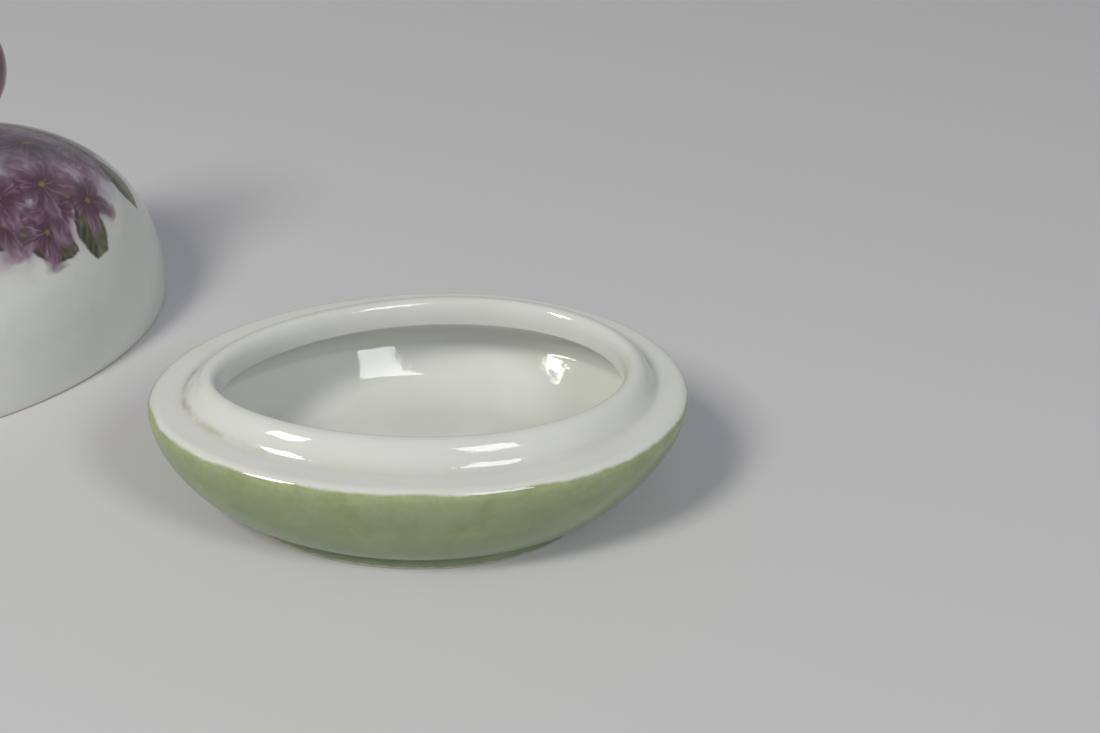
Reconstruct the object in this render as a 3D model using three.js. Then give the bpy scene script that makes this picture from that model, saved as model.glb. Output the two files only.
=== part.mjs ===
// Oval porcelain trinket box, opened: the bowl-shaped base, the domed lid standing on its rim
// beside it, and the round knob luted to the top of the lid.
// Millimetres, +Z up, +X towards the broader end of the base. The origin is the middle of the
// base's flat foot, on the surface that the box stands on.
import * as THREE from 'three';

// Outline of the box seen from above, an oval that is slightly broader at its +X end
const boxLength = 90;
const boxWidth = 61.2;
const broadEndShare = 0.065;

// Base: flat foot, bowl-shaped body, rounded shoulder and flat seat for the lid
const footLength = 62;
const footWidth = 46.4;
const footHeight = 2.4;
const footEdge = 0.5;
const widestHeight = 18.6;
const seatHeight = 20.4;
const shoulderRun = 1.8;
const baseWall = 4;
const floorThickness = 4.6;

// Gallery: the raised rim inside the seat that keeps the lid in place. Its outer flank is an
// S-curve from the seat to the crest, its inner side a quarter of an ellipse down to the lip.
const galleryInset = 4.9;
const galleryRise = 3.85;
const crestInset = 9.65;
const flankFootShare = 0.36;
const flankCrestShare = 0.53;
const lipInset = 11.5;
const lipHeight = 20.2;
const undercutRun = 0.9;
const undercutRise = 2.6;

// Lid: a dome on a low upright rim that passes outside the gallery
const lidInset = 0.9;
const lidClearance = 0.6;
const lidRimHeight = 1.6;
const lidRimEdge = 0.5;
const lidHeight = 35;
const lidWall = 3.4;

// Knob: a ball on a waisted neck, joined with slip to a flat pad on top of the lid
const knobDiameter = 22.4;
const knobFootDiameter = 17;
const knobNeckDiameter = 10;
const knobNeckHeight = 6.7;
const knobPadMargin = 0.4;
const knobJoint = 0.3;

// Where the lid stands, from the middle of the base to the middle of the lid
const lidPlaceX = -73.6;
const lidPlaceY = 60.9;
const lidTurn = THREE.MathUtils.degToRad(43.7);

// Fullness of the rounded sections: 1 is a straight slope, 2 an ellipse, more is squarer
const bodyFullness = 1.63;
const bowlFullness = 2.6;
const domeFullness = 1.93;

// Fineness of the surfaces
const outlineSteps = 72;
const bodySteps = 8;
const roundSteps = 4;

const halfLength = boxLength / 2;
const halfWidth = boxWidth / 2;
const crestHeight = seatHeight + galleryRise;

// A point of the outline, moved inwards by inset along the outline's normal
function outlinePoint(angle, inset) {
  const x = halfLength * Math.cos(angle);
  const y = halfWidth * Math.sin(angle) * (1 + broadEndShare * Math.cos(angle));
  const alongX = -halfLength * Math.sin(angle);
  const alongY = halfWidth * (Math.cos(angle) + broadEndShare * Math.cos(2 * angle));
  const speed = Math.hypot(alongX, alongY);
  return [x - (inset * alongY) / speed, y + (inset * alongX) / speed];
}

// One level of a section: the outline inset, shrunk towards its middle, at a height
function level(height, inset, lengthShare = 1, widthShare = lengthShare) {
  return { height, inset, lengthShare, widthShare };
}

// Levels along a rounded quarter section, from share 1 at edgeHeight to endShares at endHeight
function roundedLevels(steps, fullness, inset, edgeHeight, endHeight, endShares = [0, 0]) {
  const levels = [];
  for (let step = 0; step <= steps; step += 1) {
    const angle = (step / steps) * (Math.PI / 2);
    const out = step === steps ? 0 : Math.cos(angle) ** (2 / fullness);
    const climb = Math.sin(angle) ** (2 / fullness);
    const [lengthShare, widthShare] = endShares.map((share) => share + (1 - share) * out);
    const height = edgeHeight + (endHeight - edgeHeight) * climb;
    levels.push(level(height, inset, lengthShare, widthShare));
  }
  return levels;
}

// Levels along a drawn path whose x is the inset and whose y is the height
function pathLevels(path, steps) {
  return path.getPoints(steps).map((point) => level(point.y, point.x));
}

// A closed body through the levels, from a middle point at firstHeight to one at lastHeight
function loftedBody(firstHeight, levels, lastHeight) {
  const positions = [0, 0, firstHeight];
  for (const { height, inset, lengthShare, widthShare } of levels) {
    for (let step = 0; step < outlineSteps; step += 1) {
      const [x, y] = outlinePoint((step / outlineSteps) * 2 * Math.PI, inset);
      positions.push(x * lengthShare, y * widthShare, height);
    }
  }
  positions.push(0, 0, lastHeight);
  const last = positions.length / 3 - 1;
  const indices = [];
  for (let step = 0; step < outlineSteps; step += 1) {
    const next = (step + 1) % outlineSteps;
    indices.push(0, 1 + next, 1 + step);
    for (let ring = 0; ring + 1 < levels.length; ring += 1) {
      const below = 1 + ring * outlineSteps;
      const above = below + outlineSteps;
      indices.push(below + step, below + next, above + next);
      indices.push(below + step, above + next, above + step);
    }
    indices.push(last - outlineSteps + step, last - outlineSteps + next, last);
  }
  const geometry = new THREE.BufferGeometry();
  geometry.setAttribute('position', new THREE.Float32BufferAttribute(positions, 3));
  geometry.setIndex(indices);
  geometry.computeVertexNormals();
  return geometry;
}

function porcelain(name, geometry, color, roughness) {
  const material = new THREE.MeshStandardMaterial({ color, roughness, metalness: 0 });
  const mesh = new THREE.Mesh(geometry, material);
  mesh.name = name;
  return mesh;
}

// Base, from the foot up the outside, over the gallery and down the inside to the floor
function makeBase() {
  const footShares = [footLength / boxLength, footWidth / boxWidth];
  const footSoleShares = [(footLength - 2 * footEdge) / boxLength, (footWidth - 2 * footEdge) / boxWidth];
  const foot = [level(0, 0, ...footSoleShares), level(footEdge, 0, ...footShares)];
  const body = roundedLevels(bodySteps, bodyFullness, 0, widestHeight, footHeight, footShares).reverse();

  const rim = new THREE.Path();
  const shoulderRise = seatHeight - widestHeight;
  rim.moveTo(0, widestHeight);
  rim.absellipse(shoulderRun, widestHeight, shoulderRun, shoulderRise, Math.PI, Math.PI / 2, true);
  rim.lineTo(galleryInset, seatHeight);
  const flankRun = crestInset - galleryInset;
  const footHandle = galleryInset + flankRun * flankFootShare;
  const crestHandle = crestInset - flankRun * flankCrestShare;
  rim.bezierCurveTo(footHandle, seatHeight, crestHandle, crestHeight, crestInset, crestHeight);
  const lipRun = lipInset - crestInset;
  const lipDrop = crestHeight - lipHeight;
  rim.absellipse(crestInset, lipHeight, lipRun, lipDrop, Math.PI / 2, 0, true);
  const bowlEdge = widestHeight - baseWall;
  const undercutHandle = bowlEdge + undercutRise;
  rim.bezierCurveTo(lipInset - undercutRun, lipHeight, baseWall, undercutHandle, baseWall, bowlEdge);

  const bowl = roundedLevels(bodySteps, bowlFullness, baseWall, bowlEdge, floorThickness);
  const levels = [...foot, ...body, ...pathLevels(rim, roundSteps).slice(1), ...bowl.slice(1, -1)];
  return porcelain('base', loftedBody(0, levels, floorThickness), 0xb9c48e, 0.12);
}

// Lid, from the middle of its inside down to the rim and up the outside to the knob's pad
function makeLid() {
  const rimInset = galleryInset - lidClearance;
  const inside = roundedLevels(bodySteps, domeFullness, rimInset, lidRimHeight, lidHeight - lidWall);
  const rim = [
    level(0, rimInset),
    level(0, lidInset + lidRimEdge),
    level(lidRimEdge, lidInset),
  ];
  const padRadius = knobFootDiameter / 2 + knobPadMargin;
  const padShares = [padRadius / (halfLength - lidInset), padRadius / (halfWidth - lidInset)];
  const outside = roundedLevels(bodySteps, domeFullness, lidInset, lidRimHeight, lidHeight, padShares);
  const levels = [...inside.slice(0, -1).reverse(), ...rim, ...outside];
  return porcelain('lid', loftedBody(lidHeight - lidWall, levels, lidHeight), 0xe9e8e4, 0.1);
}

// Knob, turned about its own axis
function makeKnob() {
  const ballRadius = knobDiameter / 2;
  const neckRadius = knobNeckDiameter / 2;
  const ballMiddle = knobNeckHeight + Math.sqrt(ballRadius ** 2 - neckRadius ** 2);
  const profile = new THREE.Path();
  profile.moveTo(0, 0);
  profile.lineTo(knobFootDiameter / 2, 0);
  profile.quadraticCurveTo(neckRadius, 0, neckRadius, knobNeckHeight);
  const neckAngle = -Math.acos(neckRadius / ballRadius);
  profile.absellipse(0, ballMiddle, ballRadius, ballRadius, neckAngle, Math.PI / 2, false);
  const points = profile.getPoints(bodySteps);
  points[points.length - 1].x = 0;
  const geometry = new THREE.LatheGeometry(points, outlineSteps / 2);
  geometry.rotateX(Math.PI / 2);
  return porcelain('lid_knob', geometry, 0x6b4656, 0.12);
}

const lidGroup = new THREE.Group();
const knob = makeKnob();
knob.position.z = lidHeight + knobJoint;
lidGroup.add(makeLid(), knob);
lidGroup.position.set(lidPlaceX, lidPlaceY, 0);
lidGroup.rotation.z = lidTurn;

const group = new THREE.Group();
group.add(makeBase(), lidGroup);
group.updateMatrixWorld(true);

export default group;
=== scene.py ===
import functools
import math

import bmesh
import bpy
from mathutils import Matrix, Vector, geometry, noise


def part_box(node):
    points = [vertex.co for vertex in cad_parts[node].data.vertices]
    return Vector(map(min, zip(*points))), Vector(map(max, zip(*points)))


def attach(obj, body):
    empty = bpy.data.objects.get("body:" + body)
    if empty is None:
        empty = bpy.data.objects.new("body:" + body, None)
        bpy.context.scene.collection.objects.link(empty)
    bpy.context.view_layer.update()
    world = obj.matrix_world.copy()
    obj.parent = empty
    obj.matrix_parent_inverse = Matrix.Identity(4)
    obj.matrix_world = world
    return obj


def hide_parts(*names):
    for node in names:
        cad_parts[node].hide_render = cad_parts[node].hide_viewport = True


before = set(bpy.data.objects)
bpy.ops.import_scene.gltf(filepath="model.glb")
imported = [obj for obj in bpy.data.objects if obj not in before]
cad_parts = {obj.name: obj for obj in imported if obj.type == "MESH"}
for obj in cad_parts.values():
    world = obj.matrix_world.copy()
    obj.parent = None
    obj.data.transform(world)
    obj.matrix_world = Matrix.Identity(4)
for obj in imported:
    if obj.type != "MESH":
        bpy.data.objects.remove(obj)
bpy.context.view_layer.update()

# Base: slip-cast hard porcelain on a low oval foot, dipped in clear glaze, its foot ring wiped bare before
# the firing. A raised gallery inside the shoulder keeps the lid in place, and the outside up to the
# shoulder carries a sponged pale green ground, fired on over the glaze.
MM = 0.001
base_low, base_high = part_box("base")
HALF_LENGTH = (base_high.x - base_low.x) / 2
HALF_WIDTH = 30.6 * MM
BROAD_END_SHARE = 0.065
FOOT_LENGTH = 62 * MM
FOOT_WIDTH = 46.4 * MM
FOOT_CREASE_HEIGHT = 2.4 * MM
FOOT_FILLET = 0.9 * MM
FOOT_WAIST_SHARE = -0.05
FOOT_WALL_SHARE = 0.8 * FOOT_WAIST_SHARE
FOOT_RING_WIDTH = 2.6 * MM
FOOT_RECESS = 1 * MM
FOOT_EDGE = 0.5 * MM
RECESS_RING_SHARES = (0.75, 0.5, 0.25)
WIDEST_HEIGHT = 18.6 * MM
BODY_FULLNESS = 1.63
BODY_STEPS = 36
STEPS_INSIDE_FOOT = 4
FOOT_FILLET_STEPS = 8
SHOULDER_STEPS = 14
FLANK_STEPS = 30
CREST_STEPS = 20
LIP_EDGE_STEPS = 5
UNDERCUT_STEPS = 18
BOWL_WALL_STEPS = 10
BOWL_SLOPE_STEPS = 8
BOWL_BEND_STEPS = 16
BOWL_FLOOR_STEPS = 8
SHOULDER_RUN = 1.8 * MM
SEAT_HEIGHT = 20.4 * MM
GALLERY_INSET = 4.9 * MM
CREST_INSET = 9.65 * MM
CREST_HEIGHT = base_high.z
LIP_INSET = 11.5 * MM
LIP_HEIGHT = 20.2 * MM
LIP_EDGE = 0.35 * MM
UNDERCUT_RUN = 0.9 * MM
UNDERCUT_RISE = 2.6 * MM
FLANK_FOOT_SHARE = 0.36
FLANK_CREST_SHARE = 0.53
BASE_WALL = 4 * MM
BOWL_EDGE_HEIGHT = WIDEST_HEIGHT - BASE_WALL
FLOOR_THICKNESS = 4.6 * MM
OVAL_STEPS = 192
DOUBLES_REACH = 0.001 * MM
WARP = 0.16 * MM
WARP_SIZE = 26 * MM
WARP_SEED = 3.0
WARP_EASE_MM = 4.0
BOWL_WARP = 0.22 * MM
BOWL_WARP_SIZE = 9 * MM
BOWL_WARP_SEED = 5.0
# The bowl's section, in shares across from its middle and down from its edge.
BOWL_TOP_SHARE = (1.0, 0.0)
BOWL_WALL_SHARES = ((1.0, 0.14), (1.004, 0.25))
SLOPE_TOP_SHARE = (0.993, 0.29)
SLOPE_END_SHARE = (0.885, 0.68)
FLOOR_BEND_SHARES = ((0.834, 0.863), (0.72, 0.985))
FLOOR_EDGE_SHARE = (0.6, 0.985)
FLOOR_SHARES = ((0.4, 0.985), (0.2, 1.0))
FLOOR_MIDDLE_SHARE = (0.0, 1.0)


def ring(height, inset=0.0, length_share=1.0, width_share=1.0):
    """One ring of an oval piece: its height, how far it lies inside the outline, and its shares of that."""
    return {"height": height, "inset": inset, "length": length_share, "width": width_share}


def quarter(steps, fullness):
    """Shares across and up a rounded quarter section, from its upright edge to its flat end."""
    angles = [step / steps * math.pi / 2 for step in range(steps)]
    return [(math.cos(a) ** (2 / fullness), math.sin(a) ** (2 / fullness)) for a in angles] + [(0, 1)]


def arc(steps, middle, radii, start, end):
    """Points of an elliptical arc in a section, from start to end in degrees."""
    angles = [math.radians(start + (end - start) * step / steps) for step in range(steps + 1)]
    return [(middle[0] + radii[0] * math.cos(a), middle[1] + radii[1] * math.sin(a)) for a in angles]


def bezier(steps, *corners):
    """Points of a cubic curve in a section, from its first corner to its last."""
    points = geometry.interpolate_bezier(*[Vector((*corner, 0)) for corner in corners], steps)
    return [(point.x, point.y) for point in points]


def outline(angle, inset):
    """A point of the oval that is slightly broader at its +X end, moved inwards along its normal."""
    along = Vector((
        -HALF_LENGTH * math.sin(angle),
        HALF_WIDTH * (math.cos(angle) + BROAD_END_SHARE * math.cos(2 * angle)),
    ))
    along.normalize()
    x = HALF_LENGTH * math.cos(angle) - inset * along.y
    y = HALF_WIDTH * math.sin(angle) * (1 + BROAD_END_SHARE * math.cos(angle)) + inset * along.x
    return x, y


def section_runs(rings):
    """How far along the section each ring lies, in millimetres."""
    runs = [0.0]
    points = [Vector(((HALF_WIDTH - r["inset"]) * r["width"], r["height"])) for r in rings]
    for before, after in zip(points, points[1:]):
        runs.append(runs[-1] + (after - before).length / MM)
    return runs


def drawn_section(bm, places):
    """The vertices of a section, each joined to the one before it."""
    vertices = [bm.verts.new(place) for place in places]
    for before, after in zip(vertices, vertices[1:]):
        bm.edges.new((before, after))
    return vertices


def spin_section(bm, steps):
    """Spins all there is a full turn about the upright axis."""
    bmesh.ops.spin(
        bm, geom=bm.verts[:] + bm.edges[:], cent=(0, 0, 0), axis=(0, 0, 1), angle=2 * math.pi,
        steps=steps, use_merge=True,
    )


def close_poles(bm):
    """Merges what meets at the two poles, and turns the faces outwards."""
    bmesh.ops.remove_doubles(bm, verts=bm.verts, dist=DOUBLES_REACH)
    bmesh.ops.recalc_face_normals(bm, faces=bm.faces)


def spun_oval(rings):
    """A bmesh through the rings: their section is spun a full turn, then eased from round to oval."""
    bm = bmesh.new()
    keys = ("inset", "length", "width")
    for key in (*keys, "section_mm"):
        bm.verts.layers.float.new(key)
    layers = {key: bm.verts.layers.float[key] for key in keys}
    run_layer = bm.verts.layers.float["section_mm"]
    places = [((HALF_WIDTH - r["inset"]) * r["width"], 0, r["height"]) for r in rings]
    for vertex, values, run in zip(drawn_section(bm, places), rings, section_runs(rings)):
        vertex[run_layer] = run
        for key, layer in layers.items():
            vertex[layer] = values[key]
    spin_section(bm, OVAL_STEPS)
    for vertex in bm.verts:
        x, y = outline(math.atan2(vertex.co.y, vertex.co.x), vertex[layers["inset"]])
        vertex.co.x = x * vertex[layers["length"]]
        vertex.co.y = y * vertex[layers["width"]]
    for key in keys:
        bm.verts.layers.float.remove(bm.verts.layers.float[key])
    close_poles(bm)
    return bm


def warp(bm, reach, size, still_height, seed, still_run=0.0):
    """Moves the surface softly in and out, as drying, firing and hand finishing do, but not at its foot,
    nor before a place along the section."""
    bm.normal_update()
    run_layer = bm.verts.layers.float["section_mm"]
    for vertex in bm.verts:
        past_foot = (vertex.co.z - still_height) / still_height
        past_run = (vertex[run_layer] - still_run) / WARP_EASE_MM
        ease = min(1.0, max(0.0, past_foot), max(0.0, past_run))
        amount = noise.noise(vertex.co / size + Vector((seed, 0, 0)))
        vertex.co += vertex.normal * (reach * amount * ease)


def finished(name, bm, body, replaced, material):
    """Makes the piece from bm, smooth, with its material, riding on its body in place of its CAD node."""
    mesh = bpy.data.meshes.new(name)
    bm.to_mesh(mesh)
    bm.free()
    mesh.shade_smooth()
    mesh.materials.append(material)
    piece = bpy.data.objects.new(name, mesh)
    bpy.context.scene.collection.objects.link(piece)
    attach(piece, body)
    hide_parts(replaced)


def foot_ring(height, distance):
    """A ring at the foot, a distance inside the foot's own outline."""
    return ring(
        height, 0.0,
        (FOOT_LENGTH - 2 * distance) / (2 * HALF_LENGTH),
        (FOOT_WIDTH - 2 * distance) / (2 * HALF_WIDTH),
    )


def foot_rings():
    """The foot's section, from the middle of its recess over the bare foot ring to its outer edge."""
    rings = [ring(FOOT_RECESS, 0.0, 0, 0)]
    rings += [foot_ring(FOOT_RECESS, share * FOOT_WIDTH / 2) for share in RECESS_RING_SHARES]
    rings += [
        foot_ring(FOOT_RECESS, FOOT_RING_WIDTH + FOOT_EDGE),
        foot_ring(FOOT_EDGE, FOOT_RING_WIDTH),
        foot_ring(FOOT_EDGE / 4, FOOT_RING_WIDTH - FOOT_EDGE / 4),
        foot_ring(0.0, FOOT_RING_WIDTH - FOOT_EDGE),
        foot_ring(0.0, FOOT_RING_WIDTH / 2),
        foot_ring(0.0, FOOT_EDGE),
        foot_ring(FOOT_EDGE / 4, FOOT_EDGE / 4),
        foot_ring(FOOT_EDGE, 0.0),
    ]
    return rings


def body_rings():
    """The body's section, which leaves the slightly flared foot through a soft hollow."""
    body_drop = FOOT_CREASE_HEIGHT - WIDEST_HEIGHT
    shares = reversed(quarter(BODY_STEPS, BODY_FULLNESS)[:-STEPS_INSIDE_FOOT])
    body = [(across, WIDEST_HEIGHT + body_drop * up) for across, up in shares]
    wall_top = (FOOT_WALL_SHARE, FOOT_CREASE_HEIGHT - FOOT_FILLET)
    corner = (FOOT_WAIST_SHARE, FOOT_CREASE_HEIGHT)
    body = bezier(FOOT_FILLET_STEPS, wall_top, corner, corner, body[0]) + body[1:]
    foot_length = FOOT_LENGTH / (2 * HALF_LENGTH)
    foot_width = FOOT_WIDTH / (2 * HALF_WIDTH)
    return [
        ring(height, 0.0, foot_length + (1 - foot_length) * across, foot_width + (1 - foot_width) * across)
        for across, height in body
    ]


def rim_rings():
    """The section over the shoulder, the seat and the gallery, and down the undercut to the bowl's edge."""
    shoulder_radii = (SHOULDER_RUN, SEAT_HEIGHT - WIDEST_HEIGHT)
    path = arc(SHOULDER_STEPS, (SHOULDER_RUN, WIDEST_HEIGHT), shoulder_radii, 180, 90)[1:]
    path.append(((SHOULDER_RUN + GALLERY_INSET) / 2, SEAT_HEIGHT))
    flank_run = CREST_INSET - GALLERY_INSET
    path += bezier(
        FLANK_STEPS, (GALLERY_INSET, SEAT_HEIGHT),
        (GALLERY_INSET + flank_run * FLANK_FOOT_SHARE, SEAT_HEIGHT),
        (CREST_INSET - flank_run * FLANK_CREST_SHARE, CREST_HEIGHT), (CREST_INSET, CREST_HEIGHT),
    )
    crest_radii = (LIP_INSET - CREST_INSET, CREST_HEIGHT - LIP_HEIGHT)
    path += arc(CREST_STEPS, (CREST_INSET, LIP_HEIGHT), crest_radii, 90, 0)[1:]
    path += arc(LIP_EDGE_STEPS, (LIP_INSET - LIP_EDGE, LIP_HEIGHT), (LIP_EDGE, LIP_EDGE), 0, -90)[1:]
    path += bezier(
        UNDERCUT_STEPS, (LIP_INSET - LIP_EDGE, LIP_HEIGHT - LIP_EDGE),
        (LIP_INSET - UNDERCUT_RUN, LIP_HEIGHT - LIP_EDGE),
        (BASE_WALL, BOWL_EDGE_HEIGHT + UNDERCUT_RISE), (BASE_WALL, BOWL_EDGE_HEIGHT),
    )[1:]
    return [ring(height, inset) for inset, height in path]


def bowl_rings():
    """The bowl's section: a short upright wall, a straight slope and a nearly flat floor, softly joined."""
    bowl = bezier(BOWL_WALL_STEPS, BOWL_TOP_SHARE, *BOWL_WALL_SHARES, SLOPE_TOP_SHARE)[1:]
    bowl += bezier(BOWL_SLOPE_STEPS, SLOPE_TOP_SHARE, SLOPE_TOP_SHARE, SLOPE_END_SHARE, SLOPE_END_SHARE)[1:]
    bowl += bezier(BOWL_BEND_STEPS, SLOPE_END_SHARE, *FLOOR_BEND_SHARES, FLOOR_EDGE_SHARE)[1:]
    bowl += bezier(BOWL_FLOOR_STEPS, FLOOR_EDGE_SHARE, *FLOOR_SHARES, FLOOR_MIDDLE_SHARE)[1:]
    bowl_drop = FLOOR_THICKNESS - BOWL_EDGE_HEIGHT
    return [ring(BOWL_EDGE_HEIGHT + bowl_drop * down, BASE_WALL, across, across) for across, down in bowl]


PORCELAIN_WHITE = "#E3E4E1"
PORCELAIN_SHADE = "#D9DBD6"
GREEN_EDGE = "#A6B185"
GREEN_BODY = "#8F9F78"
GREEN_LOW = "#8A997D"
DAB_OLIVE = "#84915E"
EDGE_BEAD = "#93955F"
# Painted shade for the crease above the foot.
CREASE_SHADE_OLIVE = "#6A7050"
AGE_BROWN = "#A8A07E"
BISQUE = "#D3CDBE"
SPECK = "#6E675C"
CLOUD_SIZE = 14 * MM
POOL_MIDDLE_MM = 0.6
POOL_REACH_MM = 2.2
AGE_MIDDLE_MM = 0.9
AGE_REACH_MM = 1.1
NARROW_END_PLACES = (-20 * MM, -40 * MM)
STREAK_SIZE = 2.5 * MM
SPECK_SPACING = 9 * MM
SPECK_FREE_MM = 8
SPONGE_PORE = 1.1 * MM
MOTTLE_SIZE = 7 * MM
GREEN_WANDER = 7 * MM
GREEN_LOW_HEIGHTS = (3 * MM, 11 * MM)
GREEN_EDGE_HEIGHTS = (14 * MM, 20 * MM)
DAB_SIZE = 4 * MM
DAB_HEIGHTS = (4 * MM, 14 * MM)
GREEN_TOP_HEIGHT = 19.8 * MM
EDGE_WANDER_SIZE = 9 * MM
EDGE_WANDER_MM = 1.3
EDGE_TOOTH_SIZE = 1.6 * MM
EDGE_TOOTH_MM = 0.55
EDGE_FADE_MM = (-0.45, 0.3)
BEAD_SPACING = 3 * MM
BEAD_MIDDLE_MM = -0.3
BEAD_CORE_MM = 0.05
BEAD_REACH_MM = 0.4
CREASE_SHADE_REACH = 0.7 * MM
BARE_WANDER = 0.5 * MM
BARE_HEIGHTS = (0.35 * MM, 0.6 * MM)
RIPPLE_SIZE = 0.9 * MM
RIPPLE_SHARE = 0.12
SWELL_SIZE = 5.5 * MM
SWELL_HEIGHT = 0.09 * MM
GLAZE_IOR = 1.5
GLAZE_ROUGHNESS = 0.07
BISQUE_ROUGHNESS = 0.75
# Unless told otherwise, a Mix node mixes colours and a Map Range node eases softly from end to end.
USUAL_SETTINGS = {"Mix": {"data_type": "RGBA"}, "MapRange": {"interpolation_type": "SMOOTHSTEP"}}


def linear(hex_colour):
    """The linear RGBA of an sRGB hex colour."""
    shares = [int(hex_colour[i:i + 2], 16) / 255 for i in (1, 3, 5)]
    return [s / 12.92 if s <= 0.04045 else ((s + 0.055) / 1.055) ** 2.4 for s in shares] + [1.0]


def feed(node, *values, **named):
    """Feeds a node's live inputs, in order or by name, with _ for a space. A value may be a socket, or
    another node, whose first live output is then linked."""
    sockets = [socket for socket in node.inputs if socket.enabled][:len(values)]
    sockets += [node.inputs[name.replace("_", " ")] for name in named]
    for socket, value in zip(sockets, [*values, *named.values()]):
        if isinstance(value, bpy.types.Node):
            value = next(output for output in value.outputs if output.enabled)
        if isinstance(value, bpy.types.NodeSocket):
            node.id_data.links.new(value, socket)
        else:
            socket.default_value = value


def add_node(tree, kind, *values, **options):
    """Adds a node of that kind. An option whose name starts with a capital feeds an input, and the others
    are settings."""
    node = tree.nodes.new("ShaderNode" + kind)
    inputs = {name: value for name, value in options.items() if name[0].isupper()}
    settings = {name: value for name, value in options.items() if name not in inputs}
    for name, value in {**USUAL_SETTINGS.get(kind, {}), **settings}.items():
        setattr(node, name, value)
    feed(node, *values, **inputs)
    return node


def new_material(name):
    """An empty material, what adds a node to it, and its Principled shader."""
    material = bpy.data.materials.new(name)
    material.use_nodes = True
    tree = material.node_tree
    return material, functools.partial(add_node, tree), tree.nodes["Principled BSDF"]


def unsettled(add, value, grain, reach):
    """The value, pushed up and down by a grain from 0 to 1, half of reach each way."""
    push = add("Math", grain, 0.5, operation="SUBTRACT")
    return add("Math", push, reach, value, operation="MULTIPLY_ADD")


def band(add, value, middle, reach, strength, core=0.0):
    """The strength where the value is at the middle, eased to nothing where it is a reach away."""
    away = add("Math", value, middle, operation="SUBTRACT")
    away = add("Math", away, operation="ABSOLUTE")
    return add("MapRange", away, core, reach, strength, 0.0)


def clouded(add, place):
    """How grey a white glaze is, in soft clouds."""
    return add("MapRange", add("TexNoise", place, 1 / CLOUD_SIZE, 2.0), 0.35, 0.7, 0.0, 0.35)


def glaze(add, shader, place):
    """Gives the shader the gloss of clear glaze, with the soft waves of its melting."""
    ripple = add("TexNoise", place, 1 / RIPPLE_SIZE, 2.0)
    swell = add("TexNoise", place, 1 / SWELL_SIZE, 2.0)
    waves = add("Math", ripple, RIPPLE_SHARE, swell, operation="MULTIPLY_ADD")
    feed(shader, IOR=GLAZE_IOR, Normal=add("Bump", Height=waves, Distance=SWELL_HEIGHT, Strength=1.0))


def aged_white(add, place, section, gallery_run, crest_run):
    """White porcelain under clear glaze, with its age and its specks."""
    # White: softly clouded, and a little greyer where the glaze pooled in the hollow round the gallery.
    pooled = band(add, section, gallery_run + POOL_MIDDLE_MM, POOL_REACH_MM, 0.7)
    grey = add("Math", pooled, clouded(add, place), operation="ADD")
    white = add("Mix", grey, linear(PORCELAIN_WHITE), linear(PORCELAIN_SHADE))
    # Age: brown worked into the hollow round the gallery, most of it at the narrow end.
    narrow_end = add("MapRange", add("SeparateXYZ", place), *NARROW_END_PLACES, 0.15, 1.0)
    streaks = add("TexNoise", place, 1 / STREAK_SIZE, 4.0, Distortion=0.6)
    streaks = add("MapRange", streaks, 0.35, 0.7, 0.15, 1.0)
    age = band(add, section, gallery_run + AGE_MIDDLE_MM, AGE_REACH_MM, 1.0)
    age = add("Math", age, streaks, operation="MULTIPLY")
    age = add("Math", age, narrow_end, operation="MULTIPLY")
    age = add("Math", age, 0.6, operation="MULTIPLY")
    white = add("Mix", age, white, linear(AGE_BROWN))
    # Specks: a few dark grains of ash that fell into the glaze, on the inside only.
    grains = add("TexVoronoi", place, 1 / SPECK_SPACING, Randomness=1.0)
    chosen = add("SeparateColor", grains.outputs["Color"])
    chosen = add("Math", chosen, 0.82, operation="GREATER_THAN")
    inside = add("Math", section, crest_run + SPECK_FREE_MM, operation="GREATER_THAN")
    speck = add("MapRange", grains, 0.02, 0.035, 0.75, 0.0)
    speck = add("Math", speck, chosen, operation="MULTIPLY")
    speck = add("Math", speck, inside, operation="MULTIPLY")
    return add("Mix", speck, white, linear(SPECK))


def sponged_green(add, place, height, mottle):
    """Pale green enamel dabbed on with a sponge: yellower and paler by the edge, greyer and denser down to
    the foot, and olive in patches where the dabs overlap."""
    depth = unsettled(add, height, mottle, GREEN_WANDER)
    sponge = add("TexNoise", place, 1 / SPONGE_PORE, 3.0)
    green = add("Mix", add("MapRange", depth, *GREEN_LOW_HEIGHTS), linear(GREEN_LOW), linear(GREEN_BODY))
    green = add("Mix", add("MapRange", depth, *GREEN_EDGE_HEIGHTS), green, linear(GREEN_EDGE))
    green = add("Mix", add("MapRange", sponge, 0.35, 0.7, 0.0, 0.3), green, linear(GREEN_LOW))
    green = add("Mix", add("MapRange", mottle, 0.3, 0.6, 0.4, 0.0), green, linear(GREEN_EDGE))
    dabs = add("TexNoise", place, 1 / DAB_SIZE, 4.0, Distortion=0.2)
    dabs = add("MapRange", dabs, 0.42, 0.72, 0.0, 0.4)
    nearer_edge = add("MapRange", height, *DAB_HEIGHTS, 0.4, 1.0)
    return add("Mix", add("Math", dabs, nearer_edge, operation="MULTIPLY"), green, linear(DAB_OLIVE))


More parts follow.
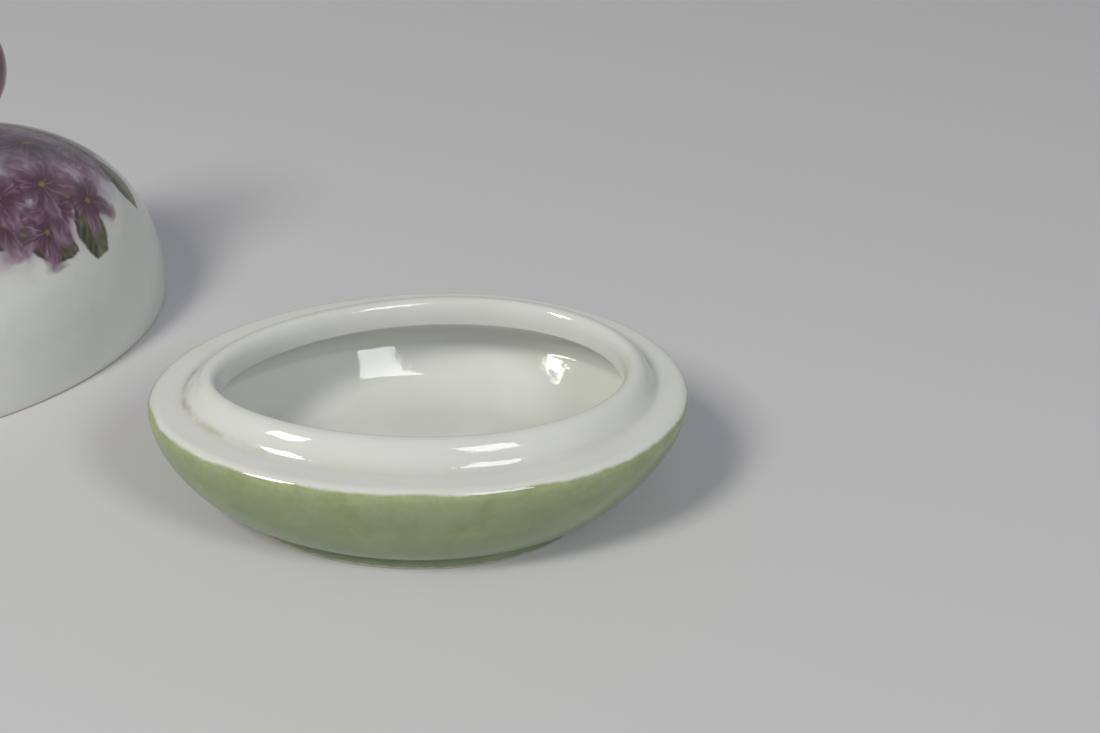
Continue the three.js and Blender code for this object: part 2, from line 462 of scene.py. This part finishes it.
def glazed_porcelain_base(runs, rings):
    """Glazed white porcelain. The eye gets clear highlights over white, a soft sponged green below a ragged
    painted edge, brown age in the hollow round the gallery and a matt bare foot."""
    material, add, shader = new_material("glazed_porcelain_green_ground")
    place = add("TexCoord").outputs["Object"]
    section = add("Attribute", attribute_name="section_mm").outputs["Fac"]
    height = add("SeparateXYZ", place).outputs["Z"]
    edge_run = next(run for run, level in zip(runs, rings) if level["height"] >= GREEN_TOP_HEIGHT)
    gallery_run = next(run for run, level in zip(runs, rings) if level["inset"] >= GALLERY_INSET)
    crest_run = next(run for run, level in zip(runs, rings) if level["inset"] >= CREST_INSET)
    white = aged_white(add, place, section, gallery_run, crest_run)
    mottle = add("TexNoise", place, 1 / MOTTLE_SIZE, 3.0, Distortion=0.6)
    green = sponged_green(add, place, height, mottle)

    # The green's edge: cut by hand with a wide brush, so it wanders, has small teeth and fades a little
    # into the white, and here and there the colour gathered in a darker bead along it.
    wander = add("TexNoise", place, 1 / EDGE_WANDER_SIZE, 2.0)
    teeth = add("TexNoise", place, 1 / EDGE_TOOTH_SIZE, 3.0)
    edge = unsettled(add, unsettled(add, section, wander, EDGE_WANDER_MM), teeth, EDGE_TOOTH_MM)
    ground = add("MapRange", edge, *[edge_run + fade for fade in EDGE_FADE_MM], 1.0, 0.0)
    beads = add("TexNoise", place, 1 / BEAD_SPACING, 2.0)
    beads = add("MapRange", beads, 0.45, 0.7, 0.0, 0.55)
    line = band(add, edge, edge_run + BEAD_MIDDLE_MM, BEAD_REACH_MM, 1.0, BEAD_CORE_MM)
    green = add("Mix", add("Math", line, beads, operation="MULTIPLY"), green, linear(EDGE_BEAD))
    # Painted shade: the green is darkened towards olive in the crease above the foot, where shade falls.
    crease_shade = band(add, height, FOOT_CREASE_HEIGHT, CREASE_SHADE_REACH, 0.3)
    green = add("Mix", crease_shade, green, linear(CREASE_SHADE_OLIVE))
    outside = add("Math", section, (FOOT_WIDTH / 2 - FOOT_EDGE) / MM, operation="GREATER_THAN")
    colour = add("Mix", add("Math", ground, outside, operation="MULTIPLY"), white, green)

    # Foot: wiped bare before the firing, so it is matt, and picks up a little dirt.
    bare = unsettled(add, height, teeth, BARE_WANDER)
    bare = add("MapRange", bare, *BARE_HEIGHTS, 1.0, 0.0)
    dirt = add("MapRange", mottle, 0.4, 0.7, 0.0, 0.3)
    bisque = add("Mix", dirt, linear(BISQUE), linear(AGE_BROWN))
    roughness = add("MapRange", bare, 0.0, 1.0, GLAZE_ROUGHNESS, BISQUE_ROUGHNESS)
    feed(shader, Base_Color=add("Mix", bare, colour, bisque), Roughness=roughness)
    glaze(add, shader, place)
    return material


base_rings = foot_rings() + body_rings() + rim_rings() + bowl_rings()
base_runs = section_runs(base_rings)
base_bmesh = spun_oval(base_rings)
warp(base_bmesh, WARP, WARP_SIZE, FOOT_CREASE_HEIGHT, WARP_SEED)
# The bowl is wavier than the rest: its inside was not shaped by the mould, but left by the draining slip.
lip_run = max(run for run, level in zip(base_runs, base_rings) if level["inset"] >= LIP_INSET - LIP_EDGE)
warp(base_bmesh, BOWL_WARP, BOWL_WARP_SIZE, FOOT_CREASE_HEIGHT, BOWL_WARP_SEED, lip_run)
base_material = glazed_porcelain_base(base_runs, base_rings)
finished("base_body", base_bmesh, "base", "base", base_material)

# Lid: the same slip-cast porcelain, a dome on a low upright rim that is wiped bare where it rests, glazed
# white inside and out, with blossoms and leaves painted over the glaze round its top.
knob_low, knob_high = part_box("lid_knob")
LID_AXIS = Vector(((knob_low.x + knob_high.x) / 2, (knob_low.y + knob_high.y) / 2, 0))
LID_TURN = math.radians(43.7)
LID_INSET = 0.9 * MM
LID_CLEARANCE = 0.6 * MM
LID_INNER_INSET = GALLERY_INSET - LID_CLEARANCE
LID_RIM_HEIGHT = 1.6 * MM
LID_RIM_EDGE = 0.5 * MM
LID_HEIGHT = 35 * MM
LID_WALL = 3.4 * MM
LID_WARP_SEED = 8.0
DOME_FULLNESS = 1.93
PAD_RADIUS = 8.9 * MM
PAD_RING_SHARES = (0.6, 0.3, 0)
INSIDE_STEPS = 30
OUTSIDE_STEPS = 40


def lid_rings():
    """The lid's section, from under the top of the dome down to the rim and up the outside."""
    rings = []
    for across, up in reversed(quarter(INSIDE_STEPS, DOME_FULLNESS)):
        height = LID_RIM_HEIGHT + (LID_HEIGHT - LID_WALL - LID_RIM_HEIGHT) * up
        rings.append(ring(height, LID_INNER_INSET, across, across))
    rings += [
        ring(LID_RIM_EDGE / 2, LID_INNER_INSET),
        ring(0, LID_INNER_INSET - LID_RIM_EDGE / 2),
        ring(0, (LID_INNER_INSET + LID_INSET) / 2),
        ring(0, LID_INSET + LID_RIM_EDGE),
        ring(LID_RIM_EDGE / 4, LID_INSET + LID_RIM_EDGE / 4),
        ring(LID_RIM_EDGE, LID_INSET),
    ]
    pad_length = PAD_RADIUS / (HALF_LENGTH - LID_INSET)
    pad_width = PAD_RADIUS / (HALF_WIDTH - LID_INSET)
    for across, up in quarter(OUTSIDE_STEPS, DOME_FULLNESS):
        height = LID_RIM_HEIGHT + (LID_HEIGHT - LID_RIM_HEIGHT) * up
        rings.append(ring(
            height, LID_INSET, pad_length + (1 - pad_length) * across, pad_width + (1 - pad_width) * across,
        ))
    for share in PAD_RING_SHARES:
        rings.append(ring(LID_HEIGHT, LID_INSET, pad_length * share, pad_width * share))
    return rings


PETAL_DARK = "#4F3040"
PETAL_MID = "#84637B"
PETAL_PALE = "#B79FB4"
HEART_YELLOW = "#99773F"
LEAF_DARK = "#3D3D2E"
LEAF_MID = "#686A4C"
LEAF_PALE = "#98A06E"
LILAC_WASH = "#B4A7B6"
BLOSSOM_CELL = 12 * MM
BLOSSOM_RADIUS = 7.6 * MM
PETALS = 5.0
PETAL_WANDER = 1.6 * MM
HEART_RADIUS = 0.8 * MM
STROKES_ROUND = 1.3
STROKES_PER_M = 60
BLOSSOM_STRAY = 5 * MM
BLOSSOM_FADE = (0.1 * MM, 0.9 * MM)
BLOSSOM_FADE_WANDER = 1.8 * MM
LEAF_CELL = 17 * MM
LEAF_LENGTH = 6.7 * MM
LEAF_WIDTH = 4 * MM
LEAF_BAND_REACH = 8.5 * MM
LEAF_BAND_INSET = 1 * MM
LEAF_STRAY = 4 * MM
LEAF_FADE = (0.1 * MM, 0.7 * MM)
LEAF_FADE_WANDER = 1.2 * MM
RIB_REACHES = (0.1 * MM, 0.8 * MM)
VEIN_SPACING = 2.6 * MM
WREATH_INNER = 9 * MM
WREATH_INNER_FADE = 2 * MM
WREATH_OUTER = 28 * MM
WREATH_OUTER_FADE = 3 * MM
WREATH_STRETCH = 1.25
WREATH_MIDDLE_REACH = 1 * MM
WASH_WANDER = 16 * MM
WASH_REACHES = (WREATH_OUTER - 6 * MM, WREATH_OUTER + 4 * MM)
BEHIND_REACHES = (WREATH_OUTER - 12 * MM, WREATH_OUTER - 2 * MM)
BRUSH_SIZE = 2.2 * MM
DRIFT_SIZE = 8 * MM
LID_BARE_WANDER = 0.6 * MM
LID_BARE_HEIGHTS = (0.3 * MM, 0.55 * MM)


def cell_axes(add, developed, cell, shift, randomness=0.8):
    """Cells over the developed dome: the place in each, turned its own way, how far its middle lies from
    the knob, three chances, and how far a point is from the cell's edge."""
    moved = (shift * MM, -0.7 * shift * MM, 0)
    place = add("VectorMath", developed, moved, operation="ADD")
    cells = add("TexVoronoi", place, 1 / cell, Randomness=randomness, voronoi_dimensions="2D")
    edges = add(
        "TexVoronoi", place, 1 / cell, Randomness=randomness, voronoi_dimensions="2D",
        feature="DISTANCE_TO_EDGE",
    )
    inside = add("Math", edges, cell, operation="MULTIPLY")
    middle = cells.outputs["Position"]
    chance = add("SeparateColor", cells.outputs["Color"]).outputs
    turn = add("Math", chance[0], 2 * math.pi, operation="MULTIPLY")
    turned = add("VectorMath", place, middle, operation="SUBTRACT")
    turned = add("VectorRotate", turned, Angle=turn, rotation_type="Z_AXIS")
    home = add("VectorMath", middle, moved, operation="SUBTRACT")
    reach = add("VectorMath", home, operation="LENGTH")
    return turned, reach, chance, inside


def blossom_colour(add, along, angle, distance, petal, chance, shift, tone):
    """Petals run from a dark throat over a lilac middle to pale tips, with fine strokes along them, and
    meet in a yellow heart."""
    across = add("Math", angle, STROKES_ROUND, operation="MULTIPLY")
    outwards = add("Math", distance, STROKES_PER_M, operation="MULTIPLY")
    strokes = add("TexNoise", add("CombineXYZ", across, outwards, shift), 4.0, 2.0)
    colour = add("Mix", add("MapRange", along, 0.12, 0.7), linear(PETAL_DARK), linear(PETAL_MID))
    colour = add("Mix", add("MapRange", along, 0.5, 1.0, 0.0, tone), colour, linear(PETAL_PALE))
    colour = add("Mix", add("MapRange", petal, -1.0, 0.3, 0.75, 0.0), colour, linear(PETAL_DARK))
    colour = add("Mix", add("MapRange", strokes, 0.4, 0.7, 0.0, 0.6), colour, linear(PETAL_DARK))
    colour = add("Mix", add("MapRange", strokes, 0.28, 0.48, 0.4, 0.0), colour, linear(PETAL_PALE))
    colour = add("Mix", add("Math", chance, 0.3, operation="MULTIPLY"), colour, linear(PETAL_DARK))
    heart = add("MapRange", distance, HEART_RADIUS / 4, HEART_RADIUS, 0.8, 0.0)
    return add("Mix", heart, colour, linear(HEART_YELLOW))


def blossoms(add, ground, developed, brush, shift, tone):
    """One layer of five-petalled blossoms in a wreath, painted over a ground."""
    turned, reach, chance, inside = cell_axes(add, developed, BLOSSOM_CELL, shift)
    axes = add("SeparateXYZ", turned).outputs
    angle = add("Math", axes["Y"], axes["X"], operation="ARCTAN2")
    angle = unsettled(add, angle, brush, 0.5)
    distance = add("VectorMath", turned, operation="LENGTH")
    distance = unsettled(add, distance, brush, PETAL_WANDER)
    petal = add("Math", add("Math", angle, PETALS, operation="MULTIPLY"), operation="COSINE")
    size = add("Math", chance[1], 0.35, 0.78, operation="MULTIPLY_ADD")
    rim = add("Math", petal, 0.26, 0.74, operation="MULTIPLY_ADD")
    rim = add("Math", rim, size, operation="MULTIPLY")
    rim = add("Math", rim, BLOSSOM_RADIUS, operation="MULTIPLY")
    along = add("Math", distance, rim, operation="DIVIDE")
    # A blossom is in the wreath as a whole or not at all, and fades where its cell ends.
    inner = add("MapRange", reach, WREATH_INNER - WREATH_INNER_FADE, WREATH_INNER)
    outer = add("Math", chance[2], BLOSSOM_STRAY, reach, operation="MULTIPLY_ADD")
    outer = add("MapRange", outer, WREATH_OUTER, WREATH_OUTER + WREATH_OUTER_FADE, 1.0, 0.0)
    shown = add("Math", inner, outer, operation="MULTIPLY")
    shown = add("Math", shown, 0.5, operation="GREATER_THAN")
    faded = add("MapRange", unsettled(add, inside, brush, BLOSSOM_FADE_WANDER), *BLOSSOM_FADE)
    shown = add("Math", shown, faded, operation="MULTIPLY")
    # What lies behind a blossom is shaded round it, as a painter sets one petal off against another.
    shade = add("MapRange", along, 0.8, 1.5, 0.45, 0.0)
    ground = add("Mix", add("Math", shade, shown, operation="MULTIPLY"), ground, linear(PETAL_DARK))
    colour = blossom_colour(add, along, angle, distance, petal, chance[2], shift, tone)
    cover = add("MapRange", along, 0.7, 1.04, 1.0, 0.0)
    return add("Mix", add("Math", cover, shown, operation="MULTIPLY"), ground, colour)


def leaves(add, ground, developed, brush, shift):
    """One layer of pointed leaves round the blossoms, painted over a ground."""
    turned, reach, chance, inside = cell_axes(add, developed, LEAF_CELL, shift, 0.65)
    axes = add("SeparateXYZ", turned).outputs
    along = add("Math", axes["X"], LEAF_LENGTH, operation="DIVIDE")
    half = add("Math", along, along, operation="MULTIPLY")
    half = add("Math", 1.0, half, operation="SUBTRACT")
    aside = add("Math", axes["Y"], operation="ABSOLUTE")
    within = add("Math", aside, LEAF_WIDTH, operation="DIVIDE")
    within = add("Math", unsettled(add, half, brush, 0.4), within, operation="SUBTRACT")
    # Leaves lie in a band along the wreath's outer edge, and fade where their cell ends.
    away = add("Math", reach, WREATH_OUTER - LEAF_BAND_INSET, operation="SUBTRACT")
    away = add("Math", away, operation="ABSOLUTE")
    away = add("Math", chance[2], LEAF_STRAY, away, operation="MULTIPLY_ADD")
    shown = add("Math", away, LEAF_BAND_REACH, operation="LESS_THAN")
    faded = add("MapRange", unsettled(add, inside, brush, LEAF_FADE_WANDER), *LEAF_FADE)
    cover = add("Math", add("MapRange", within, 0.0, 0.2), shown, operation="MULTIPLY")
    cover = add("Math", cover, faded, operation="MULTIPLY")
    # One half is darker than the other, with a pale rib, slanting veins and a dark edge.
    shade = add("Math", axes["Y"], 0.35 / LEAF_WIDTH, brush, operation="MULTIPLY_ADD")
    colour = add("Mix", add("MapRange", shade, 0.3, 0.75), linear(LEAF_DARK), linear(LEAF_MID))
    rib = add("MapRange", aside, *RIB_REACHES, 0.4, 0.0)
    veins = add("Math", aside, -1.3, axes["X"], operation="MULTIPLY_ADD")
    veins = add("Math", veins, 2 * math.pi / VEIN_SPACING, operation="MULTIPLY")
    veins = add("Math", veins, operation="SINE")
    veins = add("MapRange", veins, -0.4, 1.0, 0.0, 0.2)
    colour = add("Mix", add("Math", rib, veins, operation="MAXIMUM"), colour, linear(LEAF_PALE))
    colour = add("Mix", add("MapRange", within, 0.0, 0.4, 0.7, 0.0), colour, linear(LEAF_DARK))
    return add("Mix", cover, ground, colour)


def developed_dome(add, place, arc_length):
    """The dome laid flat: every point goes as far from the middle as it lies along the section."""
    flat = add("Mapping", place, LID_AXIS, (0, 0, LID_TURN), vector_type="TEXTURE")
    flat = add("VectorMath", flat, (1, 1, 0), operation="MULTIPLY")
    oval = add("VectorMath", flat, (HALF_WIDTH / HALF_LENGTH, 1, 0), operation="MULTIPLY")
    plan = add("VectorMath", oval, operation="LENGTH")
    plan = add("Math", plan, WREATH_MIDDLE_REACH, operation="MAXIMUM")
    stretch = add("Math", arc_length, plan, operation="DIVIDE")
    developed = add("VectorMath", oval, stretch, operation="SCALE")
    return add("VectorMath", developed, (WREATH_STRETCH, 1, 1), operation="MULTIPLY")


def painted_wreath(add, white, place, arc_length, brush):
    """Leaves and blossoms in five layers, over a lilac wash that runs a little into the white."""
    drift = add("TexNoise", place, 1 / DRIFT_SIZE, 2.0)
    washed = unsettled(add, arc_length, drift, WASH_WANDER)
    wash = add("MapRange", washed, *WASH_REACHES, 0.85, 0.0)
    painted = add("Mix", wash, white, linear(LILAC_WASH))
    # Between the blossoms the wash is dabbed darker, as if more of them lay behind in the shade.
    behind = add("MapRange", washed, *BEHIND_REACHES, 1.0, 0.0)
    dabs = add("MapRange", brush, 0.3, 0.65, 0.35, 0.95)
    behind = add("Math", behind, dabs, operation="MULTIPLY")
    painted = add("Mix", behind, painted, linear(PETAL_MID))
    developed = developed_dome(add, place, arc_length)
    painted = leaves(add, painted, developed, brush, 0.0)
    painted = blossoms(add, painted, developed, brush, 5.3, 0.45)
    painted = leaves(add, painted, developed, brush, 8.6)
    painted = blossoms(add, painted, developed, brush, 11.7, 0.8)
    return blossoms(add, painted, developed, brush, 19.1, 0.65)


def glazed_porcelain_lid(runs):
    """Glazed white porcelain with a painted wreath. The eye gets clear highlights over soft brushed petals
    and leaves whose colours run a little into the white, and a matt bare rim."""
    material, add, shader = new_material("glazed_porcelain_painted_blossoms")
    place = add("TexCoord").outputs["Object"]
    section = add("Attribute", attribute_name="section_mm").outputs["Fac"]
    height = add("SeparateXYZ", place).outputs["Z"]
    white = add("Mix", clouded(add, place), linear(PORCELAIN_WHITE), linear(PORCELAIN_SHADE))
    arc_length = add("Math", runs[-1], section, operation="SUBTRACT")
    arc_length = add("Math", arc_length, MM, operation="MULTIPLY")
    brush = add("TexNoise", place, 1 / BRUSH_SIZE, 3.0)
    painted = painted_wreath(add, white, place, arc_length, brush)
    outside = add("Math", section, runs[-1] / 2, operation="GREATER_THAN")
    colour = add("Mix", outside, white, painted)
    # Rim: wiped bare before the firing, as the foot of the base is.
    bare = unsettled(add, height, brush, LID_BARE_WANDER)
    bare = add("MapRange", bare, *LID_BARE_HEIGHTS, 1.0, 0.0)
    roughness = add("MapRange", bare, 0.0, 1.0, GLAZE_ROUGHNESS, BISQUE_ROUGHNESS)
    feed(shader, Base_Color=add("Mix", bare, colour, linear(BISQUE)), Roughness=roughness)
    glaze(add, shader, place)
    return material


lid_section = lid_rings()
lid_bmesh = spun_oval(lid_section)
warp(lid_bmesh, WARP, WARP_SIZE, LID_RIM_HEIGHT, LID_WARP_SEED)
lid_bmesh.transform(Matrix.Translation(LID_AXIS) @ Matrix.Rotation(LID_TURN, 4, "Z"))
lid_material = glazed_porcelain_lid(section_runs(lid_section))
finished("lid_dome", lid_bmesh, "lid", "lid", lid_material)

# Knob: a solid ball on a waisted neck, pressed in a mould, stuck to the lid with slip and dipped in a
# plum-coloured glaze.
KNOB_RADIUS = (knob_high.x - knob_low.x) / 2
KNOB_FOOT_RADIUS = 8.5 * MM
KNOB_FOOT_RING_SHARE = 0.6
KNOB_NECK_RADIUS = 5 * MM
KNOB_NECK_HEIGHT = 6.7 * MM
KNOB_JOINT = 0.3 * MM
KNOB_STEPS = 96
KNOB_NECK_STEPS = 20
KNOB_BALL_STEPS = 48
PLUM_DARK = "#5E3B4B"
PLUM_MID = "#7A5263"
PLUM_PALE = "#A98B96"
PLUM_CLOUD_SIZE = 5 * MM
PLUM_THIN_WANDER = 1.5 * MM
PLUM_THIN_HEIGHTS = (LID_HEIGHT + 0.4 * MM, LID_HEIGHT + 2.4 * MM)


def spun_knob():
    """The knob, spun round the lid's axis from its foot to its top."""
    ball_middle = KNOB_NECK_HEIGHT + math.sqrt(KNOB_RADIUS ** 2 - KNOB_NECK_RADIUS ** 2)
    neck_angle = -math.degrees(math.acos(KNOB_NECK_RADIUS / KNOB_RADIUS))
    sole_radii = (0, KNOB_FOOT_RADIUS * KNOB_FOOT_RING_SHARE, KNOB_FOOT_RADIUS)
    points = [(radius, -KNOB_JOINT) for radius in sole_radii]
    points += bezier(
        KNOB_NECK_STEPS, (KNOB_FOOT_RADIUS, 0), (KNOB_FOOT_RADIUS / 3 + KNOB_NECK_RADIUS * 2 / 3, 0),
        (KNOB_NECK_RADIUS, KNOB_NECK_HEIGHT / 3), (KNOB_NECK_RADIUS, KNOB_NECK_HEIGHT),
    )
    points += arc(KNOB_BALL_STEPS, (0, ball_middle), (KNOB_RADIUS, KNOB_RADIUS), neck_angle, 90)[1:]
    bm = bmesh.new()
    drawn_section(bm, [(radius, 0, height) for radius, height in points])
    spin_section(bm, KNOB_STEPS)
    close_poles(bm)
    return bm


def plum_glaze():
    """Coloured glaze over porcelain. The eye gets a deep gloss, slightly clouded, and paler at the knob's
    foot, where the glaze ran thin."""
    material, add, shader = new_material("plum_glaze")
    place = add("TexCoord").outputs["Object"]
    height = add("SeparateXYZ", place).outputs["Z"]
    clouds = add("TexNoise", place, 1 / PLUM_CLOUD_SIZE, 3.0, Distortion=0.8)
    clouds = add("MapRange", clouds, 0.3, 0.7)
    colour = add("Mix", clouds, linear(PLUM_DARK), linear(PLUM_MID))
    thin = unsettled(add, height, clouds, PLUM_THIN_WANDER)
    thin = add("MapRange", thin, *PLUM_THIN_HEIGHTS, 0.55, 0.0)
    feed(shader, Base_Color=add("Mix", thin, colour, linear(PLUM_PALE)), Roughness=GLAZE_ROUGHNESS)
    glaze(add, shader, place)
    return material


knob_bmesh = spun_knob()
knob_bmesh.transform(Matrix.Translation(LID_AXIS + Vector((0, 0, LID_HEIGHT + KNOB_JOINT))))
finished("lid_knob_ball", knob_bmesh, "lid", "lid_knob", plum_glaze())

# Floor: a plain pale matt surface, far wider than the view, made as one flat disc. It belongs to the
# stage, not to the box.
FLOOR_RADIUS = 0.9
FLOOR_STEPS = 96
FLOOR_COLOUR = "#DBDADF"
floor_bmesh = bmesh.new()
bmesh.ops.create_circle(floor_bmesh, cap_ends=True, segments=FLOOR_STEPS, radius=FLOOR_RADIUS)
floor_mesh = bpy.data.meshes.new("floor")
floor_bmesh.to_mesh(floor_mesh)
floor_bmesh.free()
floor = bpy.data.objects.new("floor", floor_mesh)
bpy.context.scene.collection.objects.link(floor)
floor_material, _, floor_shader = new_material("matt_floor")
feed(floor_shader, Base_Color=linear(FLOOR_COLOUR), Roughness=0.9, Specular_IOR_Level=0.2)
floor_mesh.materials.append(floor_material)

# Camera: the place, direction and roll that a perspective fit of the base's outlines gave. It looks
# down on the box from the front and a little from the left.
CAMERA_DISTANCE = 340 * MM
CAMERA_SIDEWAYS = 22.35 * MM
CAMERA_UPWARDS = 20.23 * MM
CAMERA_ELEVATION = math.radians(32)
CAMERA_TURN = math.radians(-18.063)
CAMERA_ROLL = math.radians(5.736)
CAMERA_LENS_MM = 65.45
CAMERA_SENSOR_MM = 36
CAMERA_NEAREST = 10 * MM
camera_data = bpy.data.cameras.new("camera")
camera_data.lens = CAMERA_LENS_MM
camera_data.sensor_width = CAMERA_SENSOR_MM
camera_data.clip_start = CAMERA_NEAREST
camera = bpy.data.objects.new("camera", camera_data)
bpy.context.scene.collection.objects.link(camera)
camera_turn = (
    Matrix.Rotation(CAMERA_TURN, 4, "Z")
    @ Matrix.Rotation(math.pi / 2 - CAMERA_ELEVATION, 4, "X")
    @ Matrix.Rotation(CAMERA_ROLL, 4, "Z")
)
camera.matrix_world = camera_turn @ Matrix.Translation((CAMERA_SIDEWAYS, CAMERA_UPWARDS, CAMERA_DISTANCE))
bpy.context.scene.camera = camera

# Light: a soft pale room with two windows, a cool one to the right and a warmer one to the left. The
# backdrop is pale to the eye and in the glaze, yet it gives the box only the light of a dim room.
WINDOW_DISTANCE = 1.2
ROOM_COLOUR = "#E4E6EA"
ROOM_STRENGTH = 0.24
BACKDROP_STRENGTH = 0.6
world = bpy.data.worlds.new("room")
world.use_nodes = True
bpy.context.scene.world = world
add_to_room = functools.partial(add_node, world.node_tree)
rays = add_to_room("LightPath").outputs
seen = add_to_room("Math", rays["Is Glossy Ray"], rays["Is Transmission Ray"], operation="MAXIMUM")
seen = add_to_room("Math", rays["Is Camera Ray"], seen, operation="MAXIMUM")
backdrop_rise = BACKDROP_STRENGTH - ROOM_STRENGTH
strength = add_to_room("Math", seen, backdrop_rise, ROOM_STRENGTH, operation="MULTIPLY_ADD")
feed(world.node_tree.nodes["Background"], linear(ROOM_COLOUR), strength)


def window(name, direction, size, power, colour):
    """A rectangular area lamp that faces the box from a direction."""
    data = bpy.data.lights.new(name, "AREA")
    data.shape = "RECTANGLE"
    data.size, data.size_y = size
    data.energy = power
    data.color = linear(colour)[:3]
    lamp = bpy.data.objects.new(name, data)
    away = Vector(direction).normalized()
    lamp.matrix_world = (
        Matrix.Translation(away * WINDOW_DISTANCE) @ (-away).to_track_quat("-Z", "Y").to_matrix().to_4x4()
    )
    bpy.context.scene.collection.objects.link(lamp)


window("window_right", direction=(0.303, -0.650, 0.70), size=(0.32, 0.36), power=3.4, colour="#F6F9F8")
window("window_left", direction=(-0.602, -0.391, 0.70), size=(0.24, 0.36), power=6.8, colour="#FFFDF0")
bpy.context.scene.view_settings.view_transform = "Standard"
